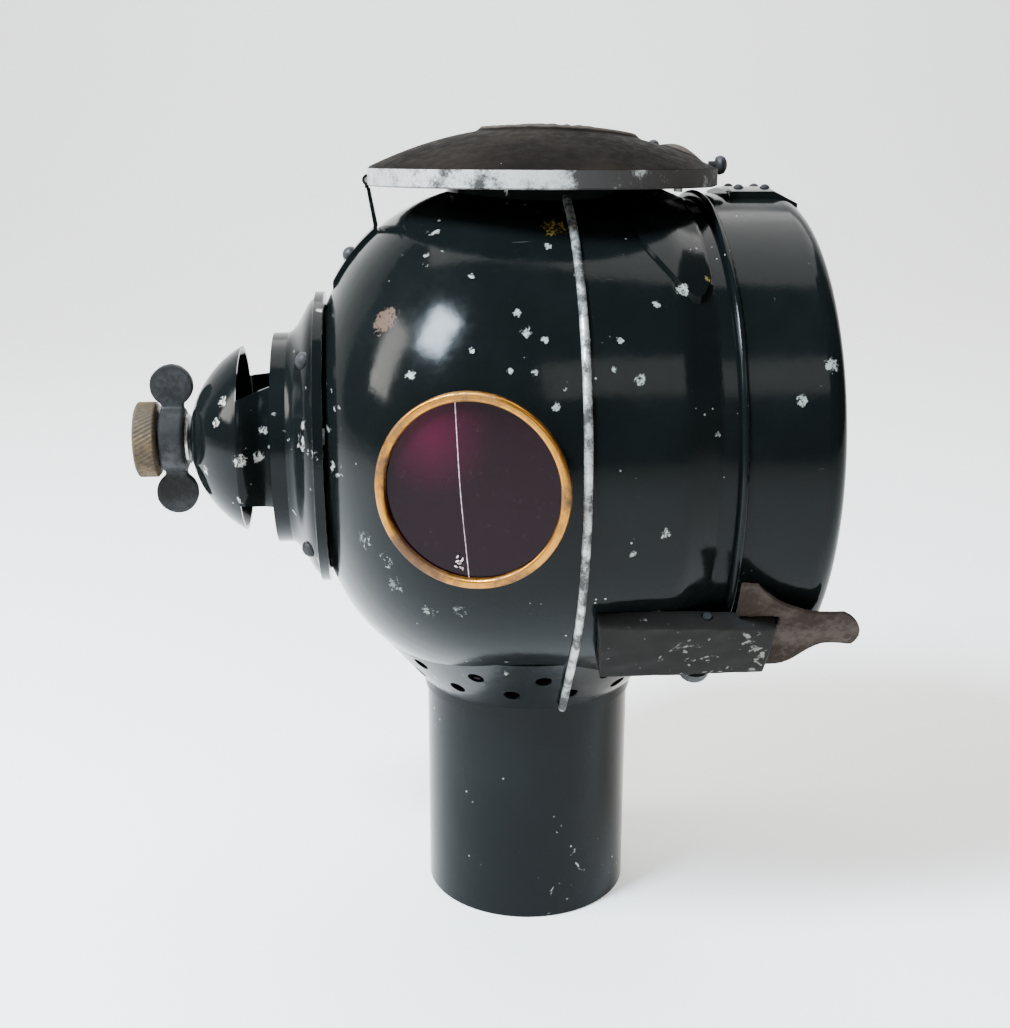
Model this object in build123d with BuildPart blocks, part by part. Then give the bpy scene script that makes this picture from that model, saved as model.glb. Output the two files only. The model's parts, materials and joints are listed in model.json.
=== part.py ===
from build123d import *
import math
import os

os.makedirs("parts", exist_ok=True)

# Railway lantern. The origin is the centre of the socket tube's bottom edge, +Z up, +X towards
# the front lens. Body sections use x measured forward from the seam plane and r from the body axis.

# ---- driving dimensions, mm
AXIS_Z = 150.5            # height of the body axis
SEAM_X = 7.0              # seam plane, forward of the tube's axis
SHEET = 0.9               # sheet metal of the body
BOWL_R = 77.0             # rear bowl, greatest radius
BOWL_LENGTH = 74.2        # rear bowl, depth of the full curve
BOWL_POWER = 2.6          # squareness of the rear bowl's curve
BOWL_END = -68.4          # where the bowl opens into the rear collar
FRONT_R = 75.2            # front shell ahead of the seam
NECK_R = 71.4             # spigot that the door drum slips over
NECK_END = 46.0
TUBE_R = 32.5
TUBE_WALL = 1.2
TUBE_TOP = 85.5
SKIRT_Z = 72.5            # where the perforated skirt meets the tube
SKIRT_RUN = 18.0          # radial width of the skirt
SKIRT_SLOPE = 1.15        # its rise for each mm of width
VENT_R = 2.5
VENTS = 14

LENS_X = -29.3            # side lights: centre, ring radius and turn towards the rear
LENS_Y = 71.5
LENS_R = 26.2
LENS_TURN = 18.0

FLANGE_R = 44.2           # rear collar and ventilator
COLLAR_R = 32.0
COWL_R = 28.0
COWL_NECK_R = 23.5
COWL_RIM_X = -94.5
COWL_APEX_X = -110.8
STUD_R = 2.5

LID_X = -4.0              # lid centre and heights, from the body axis
LID_R = 52.0
LID_LOW = 75.2
LID_EDGE = 80.2
LID_APEX = 92.4
LID_SHEET = 0.8
LID_HINGE = (-55.2, 76.9)
HINGE_R = 1.6
HINGE_PIN_R = 0.8
CHIMNEY_R = 28.0

DRUM_R = 73.0             # front door
DRUM_REAR = 41.2
DRUM_FRONT = 71.3
DRUM_EDGE = 6.5
DRUM_SHEET = 1.0
GLASS_R = 68.2
GLASS_OPENING = 63.0
GLASS_APEX = 80.0
DOOR_HINGE = (40.8, 77.6)
DOOR_BARREL_R = 2.4
DOOR_PIN_R = 1.2

LATCH_TILT = 33.0         # latch pocket: angle below the horizontal, distance of the lever plane
LATCH_R = 77.4
LATCH_PIN_X = 35.0
LATCH_PIN_R = 1.2
LEVER_SHEET = 1.2

FOUNT_R = 28.5            # oil fount and burner, heights above the floor
FOUNT_HEIGHT = 30.0
WICK_HALF = 4.0
SPINDLE_R = 1.0
RUNNING = 0.05            # radial clearance of a pin in its bearing

BODY = Plane(origin=(SEAM_X, 0, AXIS_Z), x_dir=(1, 0, 0), z_dir=(0, -1, 0))
BODY_AXIS = Axis((SEAM_X, 0, AXIS_Z), (1, 0, 0))
LID_SECTION = Plane(origin=(SEAM_X + LID_X, 0, AXIS_Z), x_dir=(1, 0, 0), z_dir=(0, -1, 0))
LID_AXIS = Axis((SEAM_X + LID_X, 0, AXIS_Z), (0, 0, 1))
LID_FLAT = Plane((SEAM_X + LID_X, 0, AXIS_Z))
FLOOR_TOP = TUBE_TOP + 1.2
FAR_SIDE = 1
NEAR_SIDE = -1


def at(x, y, z):
    """World point for body coordinates: x from the seam plane, z from the body axis."""
    return (SEAM_X + x, y, AXIS_Z + z)


def save(piece, name):
    piece.part.label = name
    export_step(piece.part, f"parts/{name}.step")


def section(plane, *points):
    """Closed straight-sided face on a section plane."""
    with BuildSketch(plane) as face:
        with BuildLine():
            Polyline(*points, close=True)
        make_face()
    return face.sketch


def bowl_point(x, lift):
    """Point of the rear bowl's section at x, lifted outwards along its normal."""
    fill = 1 - (abs(x) / BOWL_LENGTH) ** BOWL_POWER
    radius = BOWL_R * fill ** (1 / BOWL_POWER)
    slope = BOWL_R * fill ** (1 / BOWL_POWER - 1) * abs(x) ** (BOWL_POWER - 1) / BOWL_LENGTH ** BOWL_POWER
    length = math.hypot(slope, 1)
    return (x - lift * slope / length, radius + lift / length)


def bowl_sheet(low, high, start=BOWL_END):
    """Section of a sheet that follows the rear bowl, between two distances from its surface."""
    steps = 9
    places = [start * (1 - (1 - i / steps) ** 1.6) for i in range(steps + 1)]
    with BuildSketch(BODY) as face:
        with BuildLine():
            outer = Spline(*[bowl_point(x, high) for x in places])
            inner = Spline(*[bowl_point(x, low) for x in places])
            Line(outer @ 0, inner @ 0)
            Line(outer @ 1, inner @ 1)
        make_face()
    return face.sketch


def front_sheet(low, high, end=NECK_END):
    """Section of a sheet that follows the front shell: slow taper, shoulder and neck."""
    def edge(lift):
        return [(0, BOWL_R + lift), (27, FRONT_R + lift), (36.5, NECK_R + lift), (end, NECK_R + lift)]
    with BuildSketch(BODY) as face:
        with BuildLine():
            outer = FilletPolyline(*edge(high), radius=(14, 4))
            inner = FilletPolyline(*edge(low), radius=(14, 4))
            Line(outer @ 0, inner @ 0)
            Line(outer @ 1, inner @ 1)
        make_face()
    return face.sketch


def lens_plane(side, out=0.0):
    """Plane of a side light; its z points out of the lamp."""
    turn = math.radians(LENS_TURN)
    normal = Vector(-math.sin(turn), side * math.cos(turn), 0)
    origin = Vector(*at(LENS_X, side * LENS_Y, 0)) + normal * out
    return Plane(origin=origin, x_dir=(0, 0, 1), z_dir=normal)


def latch_plane(out):
    """Plane tangent to the body at the latch; x forward, y up along the body, z outwards."""
    tilt = math.radians(LATCH_TILT)
    normal = Vector(0, -math.cos(tilt), -math.sin(tilt))
    return Plane(origin=Vector(*at(0, 0, 0)) + normal * out, x_dir=(1, 0, 0), z_dir=normal)


def cap_radius(half_width, rise):
    """Radius of the sphere whose cap has this half width and rise."""
    return (half_width ** 2 + rise ** 2) / (2 * rise)


def domed_rivet(radius, height, shank):
    """Domed head on the XY plane with a shank below it."""
    with BuildPart() as piece:
        with BuildSketch(Plane.XZ):
            with BuildLine():
                Line((0, -shank), (radius * 0.5, -shank))
                Line((radius * 0.5, -shank), (radius * 0.5, 0))
                Line((radius * 0.5, 0), (radius, 0))
                RadiusArc((radius, 0), (0, height), -cap_radius(radius, height))
                Line((0, height), (0, -shank))
            make_face()
        revolve(axis=Axis.Z)
    return piece.part


# ---- body of the lamp
with BuildPart() as vent_cutters:
    for reach, start in ((38.5, 0.0), (44.5, 0.5)):
        for i in range(VENTS):
            turn = math.radians((i + start) * 360 / VENTS)
            outward = Vector(math.cos(turn) * SKIRT_SLOPE, math.sin(turn) * SKIRT_SLOPE, -1).normalized()
            rise = SKIRT_SLOPE * (reach - TUBE_R)
            spot = Vector(reach * math.cos(turn), reach * math.sin(turn), SKIRT_Z + rise) + outward * 6
            with BuildSketch(Plane(origin=spot, z_dir=-outward)):
                Circle(VENT_R)
            extrude(amount=18)

with BuildPart() as rear_shell:
    revolve(bowl_sheet(-SHEET, 0), axis=BODY_AXIS)
    with BuildSketch(Plane.XY):
        Circle(TUBE_R)
    extrude(amount=AXIS_Z, mode=Mode.SUBTRACT)
    with BuildSketch(Plane.XY.offset(AXIS_Z)):
        with Locations((SEAM_X + LID_X, 0)):
            Circle(CHIMNEY_R - SHEET)
    extrude(amount=2 * BOWL_R, mode=Mode.SUBTRACT)
    for side in (NEAR_SIDE, FAR_SIDE):
        with BuildSketch(lens_plane(side, -20)):
            Circle(LENS_R - 0.8)
        extrude(amount=40, mode=Mode.SUBTRACT)
    add(vent_cutters.part, mode=Mode.SUBTRACT)
save(rear_shell, "rear_shell")

with BuildPart() as front_shell:
    revolve(front_sheet(-SHEET, 0), axis=BODY_AXIS)
    with BuildSketch(Plane.XY):
        Circle(TUBE_R)
    extrude(amount=AXIS_Z, mode=Mode.SUBTRACT)
    with BuildSketch(Plane.XY.offset(AXIS_Z)):
        with Locations((SEAM_X + LID_X, 0)):
            Circle(CHIMNEY_R - SHEET)
    extrude(amount=2 * BOWL_R, mode=Mode.SUBTRACT)
    add(vent_cutters.part, mode=Mode.SUBTRACT)
save(front_shell, "front_shell")

with BuildPart() as body_core:
    with BuildSketch(BODY):
        with BuildLine():
            crest = Spline(*[bowl_point(BOWL_END * (1 - (1 - i / 9) ** 1.6), 0) for i in range(10)])
            Line(crest @ 1, (BOWL_END, 0))
            Line((BOWL_END, 0), (0, 0))
            Line((0, 0), crest @ 0)
        make_face()
    revolve(axis=BODY_AXIS)
    with BuildSketch(BODY):
        with BuildLine():
            edge = FilletPolyline(
                (0, BOWL_R), (27, FRONT_R), (36.5, NECK_R), (NECK_END, NECK_R), radius=(14, 4),
            )
            Line(edge @ 1, (NECK_END, 0))
            Line((NECK_END, 0), (0, 0))
            Line((0, 0), edge @ 0)
        make_face()
    revolve(axis=BODY_AXIS)

with BuildPart() as air_skirt:
    lap = SHEET * math.hypot(1, SKIRT_SLOPE) / SKIRT_SLOPE
    skirt_top = SKIRT_Z + SKIRT_SLOPE * SKIRT_RUN
    revolve(
        section(
            Plane.XZ,
            (TUBE_R, SKIRT_Z - 3),
            (TUBE_R + SHEET, SKIRT_Z - 3),
            (TUBE_R + SHEET, SKIRT_Z - 0.4),
            (TUBE_R + SKIRT_RUN + lap, skirt_top),
            (TUBE_R + SKIRT_RUN, skirt_top),
            (TUBE_R, SKIRT_Z),
        ),
        axis=Axis.Z,
    )
    add(vent_cutters.part, mode=Mode.SUBTRACT)
    add(body_core.part, mode=Mode.SUBTRACT)
save(air_skirt, "air_skirt")

with BuildPart() as seam_bead:
    bead_r = BOWL_R + 0.3
    bead_turn = math.atan2(1, SKIRT_SLOPE)
    bead_y = bead_r * math.cos(bead_turn)
    bead_run = bead_y - TUBE_R - SHEET - 1.4
    wedge_y = AXIS_Z / math.tan(bead_turn)
    with BuildSketch(BODY):
        with Locations((0, bead_r)):
            Circle(1.2)
    revolve(axis=BODY_AXIS)
    extrude(
        section(
            Plane.YZ.offset(SEAM_X - 5),
            (0, AXIS_Z),
            (wedge_y, 0),
            (-wedge_y, 0),
        ),
        amount=10,
        mode=Mode.SUBTRACT,
    )
    for side in (NEAR_SIDE, FAR_SIDE):
        start = Vector(*at(0, side * bead_y, -bead_r * math.sin(bead_turn)))
        slope = Vector(0, -side, -SKIRT_SLOPE)
        with BuildSketch(Plane(origin=start, x_dir=(1, 0, 0), z_dir=slope)):
            Circle(1.2)
        extrude(amount=bead_run * slope.length)
    with BuildSketch(LID_FLAT):
        Circle(CHIMNEY_R)
    extrude(amount=100, mode=Mode.SUBTRACT)
    add(body_core.part, mode=Mode.SUBTRACT)
    add(air_skirt.part, mode=Mode.SUBTRACT)
save(seam_bead, "seam_bead")

with BuildPart() as socket_tube:
    with BuildSketch(Plane.XY):
        Circle(TUBE_R)
        Circle(TUBE_R - TUBE_WALL, mode=Mode.SUBTRACT)
    extrude(amount=TUBE_TOP)
    fillet(socket_tube.edges().group_by(Axis.Z)[0].sort_by(SortBy.RADIUS)[-1], 0.4)
save(socket_tube, "socket_tube")

with BuildPart() as body_floor:
    with BuildSketch(Plane.XY.offset(TUBE_TOP)):
        Circle(TUBE_R + 1)
    extrude(amount=FLOOR_TOP - TUBE_TOP)
save(body_floor, "body_floor")

with BuildPart() as chimney_ring:
    revolve(
        section(
            LID_SECTION,
            (CHIMNEY_R - SHEET, 68),
            (CHIMNEY_R, 68),
            (CHIMNEY_R, 79.5),
            (CHIMNEY_R + 1.2, 79.5),
            (CHIMNEY_R + 1.2, 80.4),
            (CHIMNEY_R - SHEET, 80.4),
        ),
        axis=LID_AXIS,
    )
    add(body_core.part, mode=Mode.SUBTRACT)
save(chimney_ring, "chimney_ring")

# ---- rear collar and ventilator
with BuildPart() as collar_rivets:
    for i in range(4):
        turn = math.radians(45 + 90 * i)
        outward = Vector(-0.8, 0.6 * math.cos(turn), 0.6 * math.sin(turn))
        spot = Vector(*at(-74.6, 39.3 * math.cos(turn), 39.3 * math.sin(turn)))
        with Locations(Plane(origin=spot, z_dir=outward)):
            add(domed_rivet(2.6, 1.9, 1.2))
save(collar_rivets, "collar_rivets")

with BuildPart() as rear_collar:
    with BuildSketch(BODY):
        with BuildLine():
            Polyline((-69.0, 40.6), (-69.0, FLANGE_R), (-71.6, FLANGE_R), (-72.0, 42.6))
            Spline((-72.0, 42.6), (-75.0, 38.6), (-78.2, 33.4), (-80.0, COLLAR_R))
            Polyline(
                (-80.0, COLLAR_R), (-84.4, COLLAR_R), (-84.4, COWL_NECK_R), (-83.4, COWL_NECK_R),
                (-83.4, COLLAR_R - 1), (-79.6, COLLAR_R - 1),
            )
            Spline((-79.6, COLLAR_R - 1), (-77.4, 32.6), (-74.2, 37.8), (-71.2, 40.6))
            Line((-71.2, 40.6), (-69.0, 40.6))
        make_face()
    revolve(axis=BODY_AXIS)
    add(collar_rivets.part, mode=Mode.SUBTRACT)
save(rear_collar, "rear_collar")

with BuildPart() as vent_cowl:
    with BuildSketch(BODY):
        with BuildLine():
            ThreePointArc((COWL_APEX_X, STUD_R + 0.1), (-105.5, 17.6), (COWL_RIM_X, COWL_R))
            Spline(
                (COWL_RIM_X, COWL_R), (-92.4, 27.4), (-88.4, 24.6), (-84.4, COWL_NECK_R + 0.2),
                tangents=((1, 0.3), (1, -0.1)),
            )
            Polyline((-84.4, COWL_NECK_R + 0.2), (-84.4, COWL_NECK_R - 0.6))
            Spline(
                (-84.4, COWL_NECK_R - 0.6), (-88.6, 23.8), (-92.6, 26.6), (COWL_RIM_X + 0.2, 26.9),
                tangents=((-1, 0.1), (-1, -0.3)),
            )
            ThreePointArc((COWL_RIM_X + 0.2, 26.9), (-104.9, 17.1), (COWL_APEX_X + 0.9, STUD_R + 0.1))
            Line((COWL_APEX_X + 0.9, STUD_R + 0.1), (COWL_APEX_X, STUD_R + 0.1))
        make_face()
    revolve(axis=BODY_AXIS)
    for up in (-1, 1):
        window = section(
            BODY,
            (COWL_RIM_X + 0.2, up * 15.6),
            (-84.9, up * 18.3),
            (-84.9, up * 32),
            (COWL_RIM_X + 0.2, up * 32),
        )
        extrude(window, amount=30, both=True, mode=Mode.SUBTRACT)
save(vent_cowl, "vent_cowl")

# ---- reflector and its clamp
with BuildPart() as reflector:
    with BuildSketch(BODY):
        with BuildLine():
            ThreePointArc((-64.6, STUD_R), (-61.2, 24), (-50.0, 44))
            Line((-50.0, 44), (-49.2, 44))
            ThreePointArc((-49.2, 44), (-60.4, 24), (-63.8, STUD_R))
            Line((-63.8, STUD_R), (-64.6, STUD_R))
        make_face()
    revolve(axis=BODY_AXIS)
save(reflector, "reflector")

with BuildPart() as reflector_stud:
    revolve(
        section(BODY, (-126.4, 0), (-126.4, STUD_R - 0.5), (-125.9, STUD_R), (-63.8, STUD_R), (-63.8, 4.4),
                (-62.2, 4.4), (-62.2, 0)),
        axis=BODY_AXIS,
    )
save(reflector_stud, "reflector_stud")

with BuildPart() as clamp_washer:
    revolve(
        section(BODY, (-111.7, STUD_R), (-111.7, 7.5), (-110.9, 7.5), (-110.9, STUD_R)),
        axis=BODY_AXIS,
    )
save(clamp_washer, "clamp_washer")

with BuildPart() as wing_nut:
    revolve(
        section(BODY, (-119.4, STUD_R + RUNNING), (-119.4, 9.2), (-118.6, 10), (-112.7, 10), (-111.9, 9.2),
                (-111.9, STUD_R + RUNNING)),
        axis=BODY_AXIS,
    )
    for up in (-1, 1):
        with BuildSketch(BODY):
            with Locations((-115.6, up * 16.6)):
                Circle(6.4)
            with Locations((-115.6, up * 9.5)):
                Rectangle(6.6, 6)
        extrude(amount=1.7, both=True)
    with BuildSketch(Plane(at(-125, 0, 0), z_dir=(1, 0, 0))):
        Circle(STUD_R + RUNNING)
    extrude(amount=20, mode=Mode.SUBTRACT)
save(wing_nut, "wing_nut")

with BuildPart() as knurled_nut:
    with BuildSketch(BODY):
        with BuildLine():
            Polyline(
                (-120.1, STUD_R + RUNNING), (-120.1, 10.8), (-120.7, 11.5), (-126.0, 11.5), (-126.6, 10.9),
            )
            ThreePointArc((-126.6, 10.9), (-127.4, 7), (-127.6, STUD_R + RUNNING))
            Line((-127.6, STUD_R + RUNNING), (-120.1, STUD_R + RUNNING))
        make_face()
    revolve(axis=BODY_AXIS)
    with BuildSketch(Plane(at(-120, 0, 0), z_dir=(-1, 0, 0))):
        with PolarLocations(11.9, 40):
            Circle(0.62)
    extrude(amount=8, mode=Mode.SUBTRACT)
save(knurled_nut, "knurled_nut")

# ---- side lights
for side, tag in ((NEAR_SIDE, "near"), (FAR_SIDE, "far")):
    plane = lens_plane(side)
    with BuildPart() as lens_ring:
        with BuildSketch(plane.offset(-7)):
            Circle(LENS_R - 0.8)
            Circle(LENS_R - 1.6, mode=Mode.SUBTRACT)
        extrude(amount=8)
        with BuildSketch(plane.offset(0.4)):
            Circle(LENS_R)
            Circle(LENS_R - 2.6, mode=Mode.SUBTRACT)
        extrude(amount=2.0)
        outwards = Axis(plane.origin, plane.z_dir)
        fillet(lens_ring.edges().filter_by(GeomType.CIRCLE).group_by(outwards)[-1], 0.9)
    save(lens_ring, f"side_lens_ring_{tag}")
    with BuildPart() as side_glass:
        with BuildSketch(plane.offset(-2.2)):
            Circle(LENS_R - 1.6)
        extrude(amount=2.6)
    save(side_glass, f"side_glass_{tag}")
    with BuildPart() as glass_retainer:
        with BuildSketch(plane.offset(-3.4)):
            Circle(LENS_R - 1.6)
            Circle(LENS_R - 3.0, mode=Mode.SUBTRACT)
        extrude(amount=1.2)
    save(glass_retainer, f"side_retainer_{tag}")

# ---- lid
def lid_cap(low, high, reach):
    """Sheet that follows the lid's dome, between two distances from its outer surface."""
    rise = LID_APEX - LID_EDGE
    dome_r = (LID_R ** 2 + rise ** 2) / (2 * rise)
    centre = LID_APEX - dome_r

    def on_dome(x, lift):
        turn = math.asin(x / dome_r)
        return ((dome_r + lift) * math.sin(turn), centre + (dome_r + lift) * math.cos(turn))
    with BuildSketch(LID_SECTION) as face:
        with BuildLine():
            top = ThreePointArc(on_dome(0, high), on_dome(reach / 2, high), on_dome(reach, high))
            under = ThreePointArc(on_dome(0, low), on_dome(reach / 2, low), on_dome(reach, low))
            Line(top @ 0, under @ 0)
            Line(top @ 1, under @ 1)
        make_face()
    return face.sketch


STRAP_HALF = 4.0
LEAF_HALF = 8.4

with BuildPart() as lid_knob:
    revolve(
        section(BODY, (46.7, 81.2), (46.7, 82.4), (48.6, 82.4), (48.9, 83.6), (50.0, 84.1), (51.3, 83.7),
                (52.0, 82.6), (52.2, 81.2)),
        axis=Axis(at(0, 0, 81.2), (1, 0, 0)),
    )
save(lid_knob, "lid_knob")

with BuildPart() as lid_rivet:
    with Locations(Plane(at(29.8, 0, 87.1), z_dir=(0.29, 0, 0.957))):
        add(domed_rivet(1.8, 1.4, 0.3))
save(lid_rivet, "lid_rivet")

with BuildPart() as lid_blank:
    revolve(lid_cap(-LID_SHEET, 0, LID_R), axis=LID_AXIS)
with BuildPart() as medallion:
    revolve(lid_cap(-LID_SHEET / 2, 1.2, 30), axis=LID_AXIS)
    with BuildSketch(LID_FLAT.offset(60)):
        with Locations((5.2, 0)):
            Ellipse(24.3, 17)
    extrude(amount=40, mode=Mode.INTERSECT)
with BuildPart() as lid_swell:
    revolve(lid_cap(-LID_SHEET / 2, 2.6, 50), axis=LID_AXIS)
    with BuildSketch(LID_FLAT.offset(60)):
        with Locations((42.5, 0)):
            Ellipse(5.6, 9)
    extrude(amount=40, mode=Mode.INTERSECT)
with BuildPart() as lid_dome:
    add(lid_blank.part)
    add(medallion.part)
    add(lid_swell.part)
    with Locations(at(LID_HINGE[0] - 2, 0, LID_EDGE)):
        Box(4.6, 2 * LEAF_HALF + 0.8, 6, mode=Mode.SUBTRACT)
    add(lid_knob.part, mode=Mode.SUBTRACT)
    add(lid_rivet.part, mode=Mode.SUBTRACT)
save(lid_dome, "lid_dome")

with BuildPart() as lid_rim_band:
    revolve(
        section(
            LID_SECTION,
            (LID_R - 1, LID_LOW),
            (LID_R, LID_LOW + 0.4),
            (LID_R, LID_EDGE),
            (LID_R - 0.3, LID_EDGE - LID_SHEET),
            (LID_R - 1, LID_EDGE - LID_SHEET),
        ),
        axis=LID_AXIS,
    )
    with Locations(at(LID_X - LID_R, 0, LID_LOW)):
        Box(8, 2 * LEAF_HALF + 0.8, 30, mode=Mode.SUBTRACT)
    add(lid_knob.part, mode=Mode.SUBTRACT)
save(lid_rim_band, "lid_rim_band")


def hinge_barrel(plane, radius, bore, *spans):
    """Knuckles of a hinge along a plane's normal, each span from one height to another."""
    with BuildPart() as barrel:
        for low, high in spans:
            with BuildSketch(plane.offset(low)):
                Circle(radius)
                Circle(bore, mode=Mode.SUBTRACT)
            extrude(amount=high - low)
    return barrel.part


lid_axis_plane = Plane(at(LID_HINGE[0], 0, LID_HINGE[1]), x_dir=(1, 0, 0), z_dir=(0, -1, 0))
with BuildPart() as lid_hinge_leaf:
    revolve(lid_cap(-LID_SHEET - 0.9, -LID_SHEET, LID_R - 2), axis=LID_AXIS)
    with Locations(at(LID_HINGE[0] + 9.7, 0, LID_LOW)):
        Box(16.0, 2 * LEAF_HALF, 40, mode=Mode.INTERSECT)
    for side in (NEAR_SIDE, FAR_SIDE):
        with BuildSketch(lid_axis_plane.offset(side * (STRAP_HALF + LEAF_HALF + 0.3) / 2)):
            with BuildLine():
                Polyline((0.4, 1.2), (1.2, 0.4), (2.8, 2.9), (1.8, 3.3), close=True)
            make_face()
        extrude(amount=(LEAF_HALF - STRAP_HALF - 0.3) / 2, both=True)
    add(hinge_barrel(
        lid_axis_plane, HINGE_R, HINGE_PIN_R + RUNNING,
        (-LEAF_HALF, -STRAP_HALF - 0.3), (STRAP_HALF + 0.3, LEAF_HALF),
    ))
    with BuildSketch(lid_axis_plane):
        Circle(HINGE_PIN_R + RUNNING)
    extrude(amount=20, both=True, mode=Mode.SUBTRACT)
save(lid_hinge_leaf, "lid_hinge_leaf")

with BuildPart() as lid_hinge_pin:
    with BuildSketch(lid_axis_plane):
        Circle(HINGE_PIN_R)
    extrude(amount=LEAF_HALF + 0.2, both=True)
save(lid_hinge_pin, "lid_hinge_pin")

with BuildPart() as strap_rivet:
    foot = bowl_point(-60.4, 1.1)
    foot_normal = Vector(foot[0], 0, foot[1]) - Vector(bowl_point(-60.4, 0)[0], 0, bowl_point(-60.4, 0)[1])
    with Locations(Plane(origin=Vector(*at(foot[0], 0, foot[1])), z_dir=foot_normal)):
        add(domed_rivet(2.4, 1.8, 0.6))
save(strap_rivet, "strap_rivet")

with BuildPart() as lid_strap:
    revolve(bowl_sheet(0, 1.1), axis=BODY_AXIS)
    with Locations(at(-59.4, 0, 57)):
        Box(13.4, 13, 30, mode=Mode.INTERSECT)
    knee = bowl_point(-53.0, 0)
    with BuildSketch(BODY):
        with BuildLine():
            Polyline(
                (knee[0], knee[1]),
                (knee[0] + 0.5, knee[1] + 1.4),
                (LID_HINGE[0] + 0.5, LID_HINGE[1] - 1.4),
                (LID_HINGE[0] - 0.6, LID_HINGE[1] - 1.3),
                (knee[0] - 0.8, knee[1] + 1.4),
                (knee[0] - 1.0, knee[1] + 0.7),
                close=True,
            )
        make_face()
    extrude(amount=6.5, both=True)
    with Locations(at(LID_HINGE[0], 0, LID_HINGE[1])):
        Box(6, 13.2, 4.4, mode=Mode.SUBTRACT)
    with BuildSketch(BODY):
        with BuildLine():
            Polyline(
                (LID_HINGE[0] - 0.9, LID_HINGE[1] - 2.4),
                (LID_HINGE[0] + 0.3, LID_HINGE[1] - 2.4),
                (LID_HINGE[0] + 0.3, LID_HINGE[1] - 1.0),
                (LID_HINGE[0] - 0.9, LID_HINGE[1] - 1.0),
                close=True,
            )
        make_face()
    extrude(amount=STRAP_HALF, both=True)
    add(hinge_barrel(lid_axis_plane, HINGE_R, HINGE_PIN_R, (-STRAP_HALF, STRAP_HALF)))
    with BuildSketch(lid_axis_plane):
        Circle(HINGE_PIN_R)
    extrude(amount=20, both=True, mode=Mode.SUBTRACT)
    add(strap_rivet.part, mode=Mode.SUBTRACT)
save(lid_strap, "lid_strap")

with BuildPart() as lid_catch:
    catch = section(
        BODY, (37.2, 73.4), (38.0, 73.4), (38.0, 82.9), (45.6, 79.9), (45.6, 80.9), (37.2, 84.3),
    )
    extrude(catch, amount=4.5, both=True)
    add(lid_dome.part, mode=Mode.SUBTRACT)
    add(lid_knob.part, mode=Mode.SUBTRACT)
save(lid_catch, "lid_catch")

with BuildPart() as lid_baffle:
    revolve(
        section(
            LID_SECTION,
            (0, 82.6), (22, 82.6), (23, 81.6), (23.6, 82.2),
            (22.2, 83.4), (2.2, 83.4), (2.2, 91.58), (0, 91.58),
        ),
        axis=LID_AXIS,
    )
save(lid_baffle, "lid_baffle")

# ---- saddle plate under the lid's catch
with BuildPart() as lid_saddle:
    revolve(front_sheet(0, 1.2, end=40), axis=BODY_AXIS)
    with BuildSketch(Plane(at(0, 0, 40))):
        with BuildLine():
            Spline(
                (22, 0), (21.4, -12), (16.8, -37.7), (18.4, -45), (23.3, -52.3), (28.5, -57), (36.4, -50),
            )
            Line((36.4, -50), (36.4, 0))
            Line((36.4, 0), (22, 0))
        make_face()
        mirror(about=Plane.XZ)
    extrude(amount=50, mode=Mode.INTERSECT)
    add(chimney_ring.part, mode=Mode.SUBTRACT)
    with BuildSketch(Plane(at(LID_X, 0, 40))):
        Circle(CHIMNEY_R)
    extrude(amount=60, mode=Mode.SUBTRACT)
save(lid_saddle, "lid_saddle")

# ---- front door
def drum_outline(inset):
    """Outline of the drum from its rear edge to its front face, moved inwards by inset."""
    side = DRUM_R - inset
    front = DRUM_FRONT - inset
    turn = DRUM_EDGE - inset
    rim = Line((DRUM_REAR + 0.6, side), (DRUM_FRONT - DRUM_EDGE, side))
    RadiusArc((DRUM_FRONT - DRUM_EDGE, side), (front, DRUM_R - DRUM_EDGE), turn)
    face = Line((front, DRUM_R - DRUM_EDGE), (front, GLASS_OPENING))
    return rim @ 0, face @ 1


with BuildPart() as door_drum:
    with BuildSketch(BODY):
        with BuildLine():
            outer_rear, outer_front = drum_outline(0)
            inner_rear, inner_front = drum_outline(DRUM_SHEET)
            Line(outer_rear, inner_rear)
            Line(outer_front, inner_front)
        make_face()
    revolve(axis=BODY_AXIS)
save(door_drum, "door_drum")

with BuildPart() as door_bead:
    with BuildSketch(BODY):
        with Locations((DRUM_REAR + 1.1, DRUM_R - 0.1)):
            Circle(1.1)
    revolve(axis=BODY_AXIS)
    add(door_drum.part, mode=Mode.SUBTRACT)
save(door_bead, "door_bead")

with BuildPart() as door_lens:
    with BuildSketch(BODY):
        with BuildLine():
            Polyline((65.6, 60), (65.6, GLASS_R), (69.2, GLASS_R), (69.2, 61.5))
            RadiusArc((69.2, 61.5), (GLASS_APEX, 0), cap_radius(61.5, GLASS_APEX - 69.2))
            Line((GLASS_APEX, 0), (GLASS_APEX - 4.4, 0))
            RadiusArc((GLASS_APEX - 4.4, 0), (65.6, 60), -cap_radius(60, GLASS_APEX - 70))
        make_face()
    revolve(axis=BODY_AXIS)
save(door_lens, "door_lens")

with BuildPart() as lens_gasket:
    revolve(
        section(
            BODY,
            (69.2, 62.4),
            (69.2, GLASS_R),
            (DRUM_FRONT - DRUM_SHEET, 66),
            (DRUM_FRONT - DRUM_SHEET, 62.8),
        ),
        axis=BODY_AXIS,
    )
save(lens_gasket, "lens_gasket")

with BuildPart() as lens_retainer:
    revolve(
        section(BODY, (64.4, 65), (64.4, DRUM_R - DRUM_SHEET), (65.6, DRUM_R - DRUM_SHEET), (65.6, 65)),
        axis=BODY_AXIS,
    )
    add(door_drum.part, mode=Mode.SUBTRACT)
save(lens_retainer, "lens_retainer")

with BuildPart() as door_outer:
    with BuildSketch(BODY):
        with BuildLine():
            outer_rear, outer_front = drum_outline(0)
            Polyline(outer_front, (DRUM_FRONT, 0), (DRUM_REAR + 0.6, 0), outer_rear)
        make_face()
    revolve(axis=BODY_AXIS)

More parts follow.
